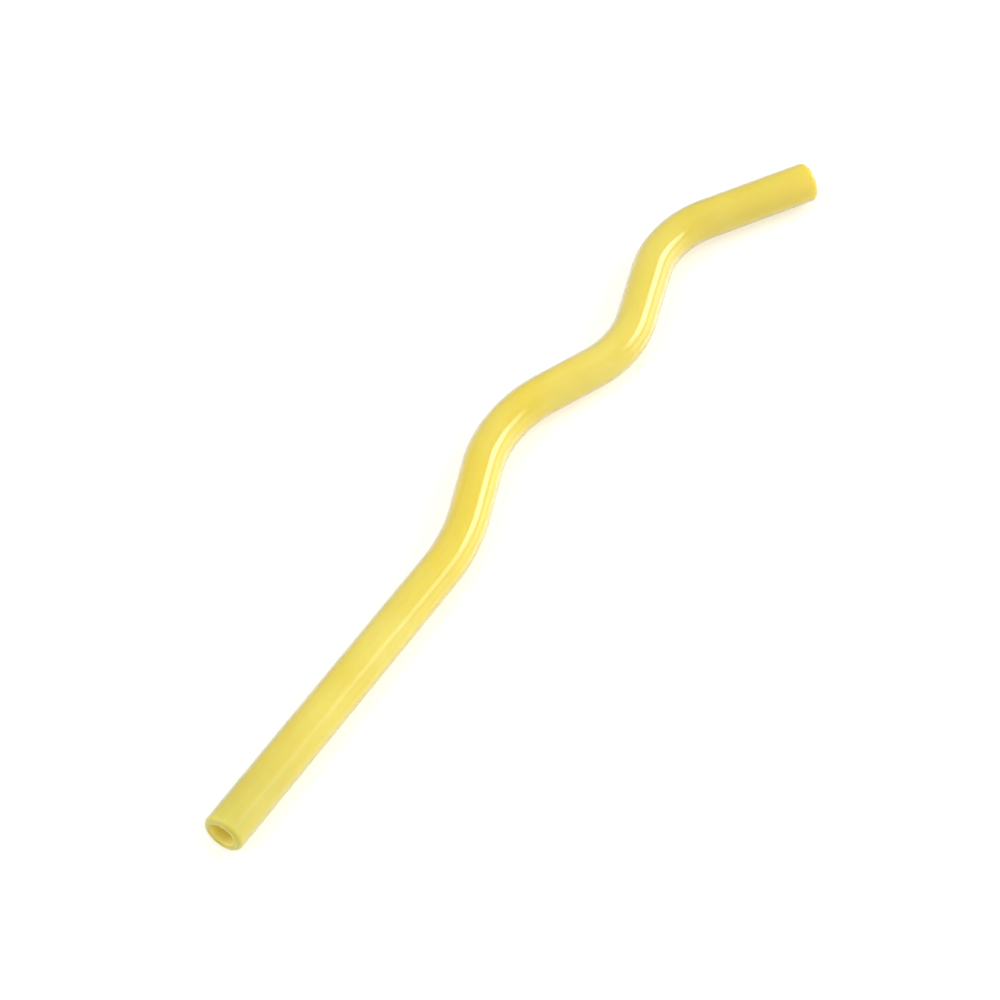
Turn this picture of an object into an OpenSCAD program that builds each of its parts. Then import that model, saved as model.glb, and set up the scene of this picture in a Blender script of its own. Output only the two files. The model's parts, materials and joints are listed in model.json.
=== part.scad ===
// Wavy drinking straw: one length of glass tube, bent four times in one plane and polished at both ends.
// It lies flat, as it comes to rest: the bends are in the XY plane and the tube's underside touches z = 0.
// The long straight leg runs along +X from its mouth, and the short drinking end is at the +X side.

/* [Tube] */
// Outside diameter of the glass tube
tube_d = 8; // [7:0.5:12]
// Thickness of the tube's wall
wall_t = 1.5; // [1.2:0.1:1.6]
// Radius of the outer corner of each flame-polished rim
lip_out_r = 1; // [0.8:0.1:1.1]

/* [Leg] */
// Length of the straight leg, from its mouth to the first bend
leg_l = 68.5; // [40:0.5:140]

/* [First bend, to the left] */
// Angle that the tube turns through
bend_1_deg = 21; // [12:0.5:40]
// Radius of the bend, to the middle of the tube
bend_1_r = 41; // [16:1:60]
// Straight length after the bend
run_1_l = 11; // [2:0.5:30]

/* [Second bend, to the right] */
// Angle that the tube turns through
bend_2_deg = 43.5; // [25:0.5:60]
// Radius of the bend, to the middle of the tube
bend_2_r = 30; // [16:1:60]
// Straight length after the bend
run_2_l = 11; // [2:0.5:30]

/* [Third bend, to the left] */
// Angle that the tube turns through
bend_3_deg = 41; // [25:0.5:60]
// Radius of the bend, to the middle of the tube
bend_3_r = 22; // [16:1:60]
// Straight length after the bend
run_3_l = 13; // [2:0.5:30]

/* [Fourth bend, to the right] */
// Angle that the tube turns through
bend_4_deg = 49.5; // [25:0.5:60]
// Radius of the bend, to the middle of the tube
bend_4_r = 22; // [16:1:60]

/* [Drinking end] */
// Length of the straight drinking end, from the last bend to its mouth
tip_l = 23.5; // [10:0.5:60]

/* [Hidden] */
$fn = 96;

// The lengths of tube are worked out in metres and enlarged together at the end. At that size the
// rounding of a turn's sine and cosine is too small to leave a step where two lengths meet.
mm = 0.001;

tube_r = mm * tube_d / 2;
wall = mm * wall_t;
bore_r = tube_r - wall;
lip_out = mm * lip_out_r;
lip_in = wall - lip_out;       // the rim's two rounded corners meet at its crown
crown_r = tube_r - lip_out;    // radius of the circle that the crown follows

runs = mm * [leg_l, run_1_l, run_2_l, run_3_l, tip_l];
radii = mm * [bend_1_r, bend_2_r, bend_3_r, bend_4_r];
turns = [bend_1_deg, -bend_2_deg, bend_3_deg, -bend_4_deg];   // left is positive
last = len(turns);             // index of the last straight run

// The path of the tube's middle, seen from above, worked out run by run from the leg's mouth
function forward(heading, dist) = dist * [cos(heading), sin(heading)];
function leftward(heading, dist) = dist * [-sin(heading), cos(heading)];
function heading(i) = i == 0 ? 0 : heading(i - 1) + turns[i - 1];
function swing(turn, radius) = sign(turn) * radius;
function bend_centre(i) = run_end(i) + leftward(heading(i), swing(turns[i], radii[i]));
function run_end(i) = run_start(i) + forward(heading(i), runs[i]);
function run_start(i) = i == 0
    ? [0, 0]
    : bend_centre(i - 1) - leftward(heading(i), swing(turns[i - 1], radii[i - 1]));

// Furthest y that the path reaches in a bend: its crest or trough if it has one, or else where it ends
function bend_y(i) = heading(i) * heading(i + 1) < 0
    ? bend_centre(i).y - swing(turns[i], radii[i])
    : run_start(i + 1).y;

// The outline seen from above, with the rounded rim of the drinking end as a ring of radius crown_r
tip_ring = run_end(last) - forward(heading(last), lip_out);
tip_half_x = crown_r * abs(sin(heading(last))) + lip_out;
tip_half_y = crown_r * abs(cos(heading(last))) + lip_out;
bend_ys = [for (i = [0 : last - 1]) bend_y(i)];
x_low = 0;
x_high = tip_ring.x + tip_half_x;
y_low = min(min([0, each bend_ys]) - tube_r, tip_ring.y - tip_half_y);
y_high = max(max([0, each bend_ys]) + tube_r, tip_ring.y + tip_half_y);
middle = [(x_low + x_high) / 2, (y_low + y_high) / 2];

// Cross-section of the tube
module wall_ring() {
    difference() {
        circle(tube_r);
        circle(bore_r);
    }
}

// Straight tube from the origin along +X
module straight(length) {
    rotate([0, 90, 0]) linear_extrude(length) wall_ring();
}

module quarter_disc(radius) {
    intersection() {
        circle(radius);
        square(radius);
    }
}

// Half section of a straight end: its rim has a wide outer corner and a tight inner one
module polished_section(length) {
    translate([bore_r, 0]) square([wall, length - lip_out]);
    translate([bore_r, length - lip_out]) square([lip_in, lip_out - lip_in]);
    translate([crown_r, length - lip_out]) quarter_disc(lip_out);
    translate([crown_r, length - lip_in]) mirror([1, 0]) quarter_disc(lip_in);
}

// Straight tube from the origin along +X, that ends in a polished rim
module polished_straight(length) {
    rotate([0, 90, 0]) rotate_extrude() polished_section(length);
}

// Bend to the left that starts at the origin along +X
module left_bend(deg, radius) {
    translate([0, radius]) rotate([0, 0, -90]) rotate_extrude(angle = deg)
        translate([radius, 0]) wall_ring();
}

module bend(turn, radius) {
    if (turn > 0) left_bend(turn, radius);
    else mirror([0, 1, 0]) left_bend(-turn, radius);
}

// Moves what comes after a bend to the bend's end, heading the new way
module past_bend(turn, radius) {
    translate([0, swing(turn, radius)]) rotate([0, 0, turn]) translate([0, -swing(turn, radius)])
        children();
}

// The tube from straight run i to the drinking end, each length starting where the one before it ends
module tube_from(i) {
    if (i == last) {
        polished_straight(runs[i]);
    } else {
        if (i == 0) translate([runs[i], 0]) mirror([1, 0, 0]) polished_straight(runs[i]);
        else straight(runs[i]);
        translate([runs[i], 0]) {
            bend(turns[i], radii[i]);
            past_bend(turns[i], radii[i]) tube_from(i + 1);
        }
    }
}

module straw() {
    color([0.96, 0.88, 0.42]) scale(1 / mm) translate([-middle.x, -middle.y, tube_r]) tube_from(0);
}

straw();
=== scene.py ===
import json
import math

import bpy
import numpy as np
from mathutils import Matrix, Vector


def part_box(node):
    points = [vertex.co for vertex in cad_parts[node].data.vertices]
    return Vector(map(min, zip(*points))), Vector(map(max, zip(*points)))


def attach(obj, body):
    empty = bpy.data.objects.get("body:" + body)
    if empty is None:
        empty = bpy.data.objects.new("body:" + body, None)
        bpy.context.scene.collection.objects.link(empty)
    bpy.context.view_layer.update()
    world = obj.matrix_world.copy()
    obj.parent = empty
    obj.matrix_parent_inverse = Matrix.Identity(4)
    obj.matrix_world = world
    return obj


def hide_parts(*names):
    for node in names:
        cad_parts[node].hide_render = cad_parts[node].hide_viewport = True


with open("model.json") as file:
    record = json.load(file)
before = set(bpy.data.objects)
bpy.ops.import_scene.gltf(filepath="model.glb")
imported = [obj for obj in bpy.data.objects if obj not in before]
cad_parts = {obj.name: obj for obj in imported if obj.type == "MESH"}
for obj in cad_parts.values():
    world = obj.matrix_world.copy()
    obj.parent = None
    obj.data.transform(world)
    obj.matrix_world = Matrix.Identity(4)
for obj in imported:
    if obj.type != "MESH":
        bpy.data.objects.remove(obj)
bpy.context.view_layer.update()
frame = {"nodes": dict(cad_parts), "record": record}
print("frame loaded:", ", ".join(frame["nodes"]))


# Small helpers

# sRGB hex to the linear colour that a shader socket takes
def linearColour(hexText):
    srgb = np.array([int(hexText[k:k + 2], 16) for k in (0, 2, 4)]) / 255
    linear = np.where(srgb <= 0.04045, srgb / 12.92, ((srgb + 0.055) / 1.055) ** 2.4)
    return (*linear.tolist(), 1.0)


# Adds a node, gives it its settings, and fills its inputs with values or with other nodes' outputs
def addNode(tree, kind, settings={}, inputs={}):
    node = tree.nodes.new(kind)
    for name, value in settings.items():
        setattr(node, name, value)
    for name, value in inputs.items():
        if isinstance(value, bpy.types.NodeSocket):
            tree.links.new(value, node.inputs[name])
        else:
            node.inputs[name].default_value = value
    return node


# A material with an empty node tree, and the output that its shader goes to
def emptyMaterial(name):
    material = bpy.data.materials.new(name)
    material.use_nodes = True
    material.node_tree.nodes.clear()
    return material, material.node_tree


# The straw: one glass tube, bent four times in one plane

glassTube = {
    "tubeRadius": 0.00399,     # a hair under the solid's 4 mm, so that the glass stays inside its box
    "endGap": 0.00001,         # and the same at both ends
    "boreRadius": 0.0025,
    "rimInside": 0.0005,       # radius of the flame-polished rim's inner corner; the outer one has the rest
    "legLength": 0.0685,
    # each bend's angle in degrees (left is positive), its radius, and the straight run after it
    "bends": [(21, 0.041, 0.011), (-43.5, 0.030, 0.011), (41, 0.022, 0.013), (-49.5, 0.022, 0.0235)],
    "outerStep": 0.0005,       # spacing of the rings along the outside
    "boreStep": 0.001,         # and along the bore
    "cornerRings": 8,
    "sides": 112,              # faces round the tube
}


# The tube's middle line as stretches of constant curvature: start length, length, curvature, heading
# and start point of each. A straight run has curvature 0.
def middleLine(shape, mouth):
    stretches = [(shape["legLength"], 0.0)]
    for degrees, radius, run in shape["bends"]:
        turn = math.radians(degrees)
        stretches += [(abs(turn) * radius, math.copysign(1 / radius, turn)), (run, 0.0)]
    lengths, curvatures = np.array(stretches).T
    starts = np.concatenate([[0], np.cumsum(lengths)])
    headings = np.concatenate([[0], np.cumsum(lengths * curvatures)])
    points = np.cumsum(np.vstack([mouth, chordOf(lengths, curvatures, headings[:-1])]), axis=0)
    return {"starts": starts, "curvatures": curvatures, "headings": headings, "points": points}


# The chord of a stretch: its length d * sin(k d / 2) / (k d / 2), in the direction halfway round it,
# which also holds where the curvature k is 0
def chordOf(distance, curvature, heading):
    chord = distance * np.sinc(curvature * distance / (2 * np.pi))
    middle = heading + curvature * distance / 2
    return np.stack([chord * np.cos(middle), chord * np.sin(middle)], axis=-1)


# Point and heading at each length along the middle line: the stretch's start, plus the chord so far
def alongLine(line, length):
    k = np.clip(np.searchsorted(line["starts"], length, side="right") - 1, 0, len(line["curvatures"]) - 1)
    distance = length - line["starts"][k]
    heading = line["headings"][k]
    point = line["points"][k] + chordOf(distance, line["curvatures"][k], heading)
    return point, heading + line["curvatures"][k] * distance


# The wall's section as one closed loop of (length along the tube, radius): the outside, the drinking
# rim's two quarter rounds, the bore going back, and the leg rim's two quarter rounds
def wallLoop(shape, total):
    start, end = shape["endGap"], total - shape["endGap"]
    inside = shape["rimInside"]
    crown = shape["boreRadius"] + inside
    outside = shape["tubeRadius"] - crown
    quarter = np.linspace(0, np.pi / 2, shape["cornerRings"] + 1)
    outer = np.linspace(start + outside, end - outside, round(total / shape["outerStep"]))
    bore = np.linspace(end - inside, start + inside, round(total / shape["boreStep"]))
    outerCorner = np.stack([start + outside * (1 - np.sin(quarter)), crown + outside * np.cos(quarter)])
    innerCorner = np.stack([start + inside * (1 - np.cos(quarter)), crown - inside * np.sin(quarter)])
    rim = np.hstack([outerCorner[:, 1:], innerCorner[:, 1:-1]])      # from the outside to the bore
    farRim = np.stack([total - rim[0], rim[1]])
    nearRim = rim[:, ::-1]
    wall = np.stack([outer, np.full(len(outer), shape["tubeRadius"])])
    hole = np.stack([bore, np.full(len(bore), shape["boreRadius"])])
    return np.hstack([wall, farRim, hole, nearRim])


# The tube as a closed grid over the loop and the angle round it:
# point = middle(length) + radius * (cos(angle) * left + sin(angle) * up)
def makeTube(shape, mouth, height):
    line = middleLine(shape, mouth)
    total = line["starts"][-1]
    length, radius = wallLoop(shape, total)
    angle = np.linspace(0, 2 * np.pi, shape["sides"], endpoint=False)
    middle, heading = alongLine(line, length)
    left = np.stack([-np.sin(heading), np.cos(heading)], axis=-1)
    across = radius[:, None] * np.cos(angle)
    flat = middle[:, None, :] + across[..., None] * left[:, None, :]
    upward = height + radius[:, None] * np.sin(angle)
    points = np.concatenate([flat, upward[..., None]], axis=-1)

    rings, sides = radius.size, angle.size
    index = np.arange(rings * sides).reshape(rings, sides)
    nextRing, nextSide = np.roll(index, -1, axis=0), np.roll(index, -1, axis=1)
    corner = np.roll(nextRing, -1, axis=1)
    faces = np.stack([index, nextSide, corner, nextRing], axis=-1).reshape(-1, 4)

    mesh = bpy.data.meshes.new("glassTube")
    mesh.from_pydata(points.reshape(-1, 3), [], faces)
    mesh.polygons.foreach_set("use_smooth", np.ones(len(faces), bool))

    # where a point is on the tube, for the drawn lines: round it, and how far along it
    onTube = np.stack(np.broadcast_arrays(np.cos(angle)[None], np.sin(angle)[None], length[:, None]), axis=-1)
    place = mesh.attributes.new("onTube", "FLOAT_VECTOR", "POINT")
    place.data.foreach_set("vector", onTube.astype(np.float32).ravel())

    # and how deep it is in the wall: 0 on the outside, 1 in the bore
    wall = shape["tubeRadius"] - shape["boreRadius"]
    depth = np.repeat((shape["tubeRadius"] - radius) / wall, angle.size)
    inWall = mesh.attributes.new("inWall", "FLOAT", "POINT")
    inWall.data.foreach_set("value", depth.astype(np.float32))
    mesh.update()
    return mesh


# Milky borosilicate glass, coloured through and drawn into tube: light goes a few millimetres into it,
# the surface is fire-smooth, and faint streaks run lengthwise where it was drawn
# Its colour also holds painted shade and light: along the tube, where the surface is seen edge-on, on the
# rims and in the bore
milkyGlass = {
    # painted shade and light along the tube: a lemon yellow leg between a mouth painted darker and greener
    # and a wave painted lighter and more golden, and a drinking end a little darker again, for the light that
    # falls on them: length from the leg's mouth, and colour
    "paintedShadeStops": [(0.0, "c8c464"), (0.03, "ecd25c"), (0.09, "f6d256"), (0.20, "e2cc58")],
    # what is laid over them, each over the one before, the glass's own streaks and clouds and then painted
    # shade and light: its colour, the value of its pattern where it starts and where it is full, and the most
    # of the glass that it covers
    "tintsAndPaintedShade": {
        "streaks": ("f0c644", 0.42, 0.66, 0.3),
        "clouds": ("ffe68c", 0.40, 0.70, 0.3),
        "paintedEdgeShade": ("bcbc9c", 0.35, 1.0, 0.9),     # painted edge shade: the colour turns grey where the glass is seen edge-on, standing in for the dark line that light gives at its edges
        "rim": ("b8ad50", 0.0, 0.25, 1.0),      # painted shade: the rims are painted darker and duller, standing in for the shade at the open ends
        "bore": ("e6d684", 0.90, 1.0, 1.0),     # painted light: the bore is painted paler, standing in for the light that comes through the wall
    },
    "drawnLine": 0.0011,           # width of a drawn streak round the tube
    "changesPerMetre": 18.0,       # how often a streak changes along it
    "streakDetail": (3.0, 0.55),   # how many finer streaks there are inside it, and how strong
    "cloud": 0.018,                # size of the soft changes of colour
    "cloudDetail": 2.0,
    "matt": (0.02, 0.26),          # the leg's mouth is a little matt as far as this, and this rough
    "gloss": (0.08, 0.08),         # and from here on the glass is as glossy as this
    "ripple": (0.12, 0.00005),     # how much of a ripple the streaks make, and how high
    "ior": 1.47,
    "scatter": 0.004,              # how far light spreads inside, in metres
    "scatterByColour": (1.0, 0.9, 0.6),
}


# The painted shade and light along the tube: a colour ramp over the share of its whole length
def paintedShadeAlong(tree, look, length):
    total = float(middleLine(glassTube, (0, 0))["starts"][-1])
    share = addNode(tree, "ShaderNodeMath", {"operation": "DIVIDE"}, {0: length, 1: total})
    ramp = addNode(tree, "ShaderNodeValToRGB", {}, {"Fac": share.outputs[0]})
    stops = ramp.color_ramp.elements
    stops.remove(stops[1])
    for k, (distance, colour) in enumerate(look["paintedShadeStops"]):
        stop = stops[0] if k == 0 else stops.new(min(distance / total, 1))
        stop.color = linearColour(colour)
    return ramp.outputs["Color"]


# The glass's own streaks and clouds, and the painted edge shade, rim shade and bore light, laid over the
# colour along the tube, each where its pattern says
def tintAndPaintShade(tree, look, colour, patterns):
    for name, (laidColour, start, full, most) in look["tintsAndPaintedShade"].items():
        pattern, easing = patterns[name]
        share = addNode(tree, "ShaderNodeMapRange", {"interpolation_type": easing},
                        {"Value": pattern, "From Min": start, "From Max": full, "To Max": most})
        mixed = addNode(tree, "ShaderNodeMix", {"data_type": "RGBA"},
                        {"Factor": share.outputs["Result"], "A": colour, "B": linearColour(laidColour)})
        colour = mixed.outputs["Result"]
    return colour


def makeGlass(look):
    material, tree = emptyMaterial("milkyYellowGlass")
    place = addNode(tree, "ShaderNodeAttribute", {"attribute_name": "onTube"})
    along = addNode(tree, "ShaderNodeSeparateXYZ", {}, {"Vector": place.outputs["Vector"]})
    depth = addNode(tree, "ShaderNodeAttribute", {"attribute_name": "inWall"})
    edgeOn = addNode(tree, "ShaderNodeLayerWeight", {}, {"Blend": 0.5})

    # round the tube the attribute goes by the radius of 1, so a line's width is its share of the real radius
    linesPerRadius = glassTube["tubeRadius"] / look["drawnLine"]
    stretch = addNode(tree, "ShaderNodeVectorMath", {"operation": "MULTIPLY"},
                      {0: place.outputs["Vector"],
                       1: (linesPerRadius, linesPerRadius, look["changesPerMetre"])})
    lines = addNode(tree, "ShaderNodeTexNoise", {"noise_dimensions": "3D"},
                    {"Vector": stretch.outputs[0], "Scale": 1.0,
                     "Detail": look["streakDetail"][0], "Roughness": look["streakDetail"][1]})
    coords = addNode(tree, "ShaderNodeTexCoord")
    clouds = addNode(tree, "ShaderNodeTexNoise", {"noise_dimensions": "3D"},
                     {"Vector": coords.outputs["Object"], "Scale": 1 / look["cloud"],
                      "Detail": look["cloudDetail"]})

    # the colour along the tube and the edge, rim and bore layers are painted shade and light
    colour = tintAndPaintShade(tree, look, paintedShadeAlong(tree, look, along.outputs["Z"]), {
        "streaks": (lines.outputs["Fac"], "LINEAR"),
        "clouds": (clouds.outputs["Fac"], "LINEAR"),
        "paintedEdgeShade": (edgeOn.outputs["Facing"], "SMOOTHSTEP"),
        "rim": (depth.outputs["Fac"], "LINEAR"),
        "bore": (depth.outputs["Fac"], "LINEAR"),
    })
    roughness = addNode(tree, "ShaderNodeMapRange", {"interpolation_type": "SMOOTHSTEP"},
                        {"Value": along.outputs["Z"],
                         "From Min": look["matt"][0], "From Max": look["gloss"][0],
                         "To Min": look["matt"][1], "To Max": look["gloss"][1]})
    bump = addNode(tree, "ShaderNodeBump", {},
                   {"Height": lines.outputs["Fac"], "Strength": look["ripple"][0],
                    "Distance": look["ripple"][1]})
    shader = addNode(tree, "ShaderNodeBsdfPrincipled", {},
                     {"Base Color": colour, "Roughness": roughness.outputs["Result"], "IOR": look["ior"],
                      "Subsurface Weight": 1.0, "Subsurface Radius": look["scatterByColour"],
                      "Subsurface Scale": look["scatter"], "Normal": bump.outputs["Normal"]})
    addNode(tree, "ShaderNodeOutputMaterial", {}, {"Surface": shader.outputs["BSDF"]})
    return material


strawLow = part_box("straw")[0]
mounts = {mount["name"]: mount for mount in frame["record"]["mounts"]}
legLine = mounts["leg_bore"]["pos_m"]           # a point on the leg's middle line
mouth = (strawLow.x, legLine[1])
tube = bpy.data.objects.new("glassTube", makeTube(glassTube, mouth, legLine[2]))
bpy.context.scene.collection.objects.link(tube)
tube.data.materials.append(makeGlass(milkyGlass))
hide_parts("straw")
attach(tube, "root")
print("glass tube:", len(tube.data.polygons), "faces")


# Floor and light: a white table in a bright room, with a wide soft window on the right of the picture

studio = {
    "floorSize": 8.0,
    "floorColour": "cfcfce",
    "floorGlow": 0.78,                 # the white acrylic is lit a little from below
    "floorRoughness": 0.15,
    "floorIor": 1.49,
    "floorPolish": (1.0, 0.1),         # its clear top: how much of it, and how rough
    "roomColour": "ffffff",
    "roomStrength": 0.4,
    # brighter panes of the room, in degrees: azimuths from +X where each starts, is full, stays full and
    # ends, the same for its elevations, and the strength that it adds
    "panes": {
        "window": ((-61, -54, -16, -4), (17, 23, 38, 43), 4.0),
        "brightSky": ((-54, -32, -24, -8), (18, 24, 38, 43), 3.7),
        "underWindow": ((-86, -40, -16, 4), (-12, -6, 9, 15), 2.5),
        "leftWall": ((97, 120, 155, 178), (-10, 10, 50, 75), 2.0),
        "ceiling": ((-200, -190, 190, 200), (45, 70, 95, 99), 0.6),
        "nearRight": ((-130, -110, -85, -65), (-10, 10, 50, 75), 0.85),
    },
}


def makeFloor(look):
    half = look["floorSize"] / 2
    corners = np.array([(-half, -half, 0), (half, -half, 0), (half, half, 0), (-half, half, 0)])
    mesh = bpy.data.meshes.new("floor")
    mesh.from_pydata(corners, [], [(0, 1, 2, 3)])
    floor = bpy.data.objects.new("floor", mesh)
    bpy.context.scene.collection.objects.link(floor)
    material, tree = emptyMaterial("whiteAcrylic")
    shader = addNode(tree, "ShaderNodeBsdfPrincipled", {},
                     {"Base Color": linearColour(look["floorColour"]), "Roughness": look["floorRoughness"],
                      "IOR": look["floorIor"], "Emission Color": linearColour(look["floorColour"]),
                      "Emission Strength": look["floorGlow"],
                      "Coat Weight": look["floorPolish"][0], "Coat Roughness": look["floorPolish"][1]})
    addNode(tree, "ShaderNodeOutputMaterial", {}, {"Surface": shader.outputs["BSDF"]})
    mesh.materials.append(material)


# How much of a pane covers a direction: it rises softly from start to full, and falls softly to its end
def paneShare(tree, angle, edges):
    start, full, stay, end = [math.radians(edge) for edge in edges]
    rise = addNode(tree, "ShaderNodeMapRange", {"interpolation_type": "SMOOTHSTEP"},
                   {"Value": angle, "From Min": start, "From Max": full})
    fall = addNode(tree, "ShaderNodeMapRange", {"interpolation_type": "SMOOTHSTEP"},
                   {"Value": angle, "From Min": end, "From Max": stay})
    return addNode(tree, "ShaderNodeMath", {"operation": "MULTIPLY"},
                   {0: rise.outputs["Result"], 1: fall.outputs["Result"]}).outputs[0]


def makeRoom(look):
    world = bpy.data.worlds.new("room")
    world.use_nodes = True
    tree = world.node_tree
    tree.nodes.clear()
    direction = addNode(tree, "ShaderNodeTexCoord")
    xyz = addNode(tree, "ShaderNodeSeparateXYZ", {}, {"Vector": direction.outputs["Generated"]})
    azimuth = addNode(tree, "ShaderNodeMath", {"operation": "ARCTAN2"},
                      {0: xyz.outputs["Y"], 1: xyz.outputs["X"]})
    elevation = addNode(tree, "ShaderNodeMath", {"operation": "ARCSINE"}, {0: xyz.outputs["Z"]})
    strength = look["roomStrength"]
    for azimuths, elevations, power in look["panes"].values():
        share = addNode(tree, "ShaderNodeMath", {"operation": "MULTIPLY"},
                        {0: paneShare(tree, azimuth.outputs[0], azimuths),
                         1: paneShare(tree, elevation.outputs[0], elevations)})
        lit = addNode(tree, "ShaderNodeMath", {"operation": "MULTIPLY_ADD"},
                      {0: share.outputs[0], 1: power, 2: strength})
        strength = lit.outputs[0]
    sky = addNode(tree, "ShaderNodeBackground", {},
                  {"Color": linearColour(look["roomColour"]), "Strength": strength})
    addNode(tree, "ShaderNodeOutputWorld", {}, {"Surface": sky.outputs["Background"]})
    bpy.context.scene.world = world


makeFloor(studio)
makeRoom(studio)
print("floor, room and", len(studio["panes"]), "panes of sky")


# Camera: above the table, nearer to the leg's mouth

cameraView = {
    "aim": (-0.00534, 0.00079, 0.0),   # point of the table in the middle of the picture
    "facing": 32.56,                   # direction that it looks in, degrees from +X
    "elevation": 51,
    "distance": 0.64,
    "lens": 122.7,
    "sensor": 36,
    "clip": (0.01, 20),                # distances where things start and stop to show
}


def makeCamera(look):
    turn, rise = math.radians(look["facing"]), math.radians(look["elevation"])
    back = Vector((-math.cos(rise) * math.cos(turn), -math.cos(rise) * math.sin(turn), math.sin(rise)))
    data = bpy.data.cameras.new("camera")
    data.lens = look["lens"]
    data.sensor_width = look["sensor"]
    data.clip_start, data.clip_end = look["clip"]
    camera = bpy.data.objects.new("camera", data)
    bpy.context.scene.collection.objects.link(camera)
    camera.location = Vector(look["aim"]) + back * look["distance"]
    camera.rotation_euler = back.to_track_quat("Z", "Y").to_euler()
    bpy.context.scene.camera = camera


makeCamera(cameraView)
bpy.context.scene.view_settings.view_transform = "Standard"
print("camera set")
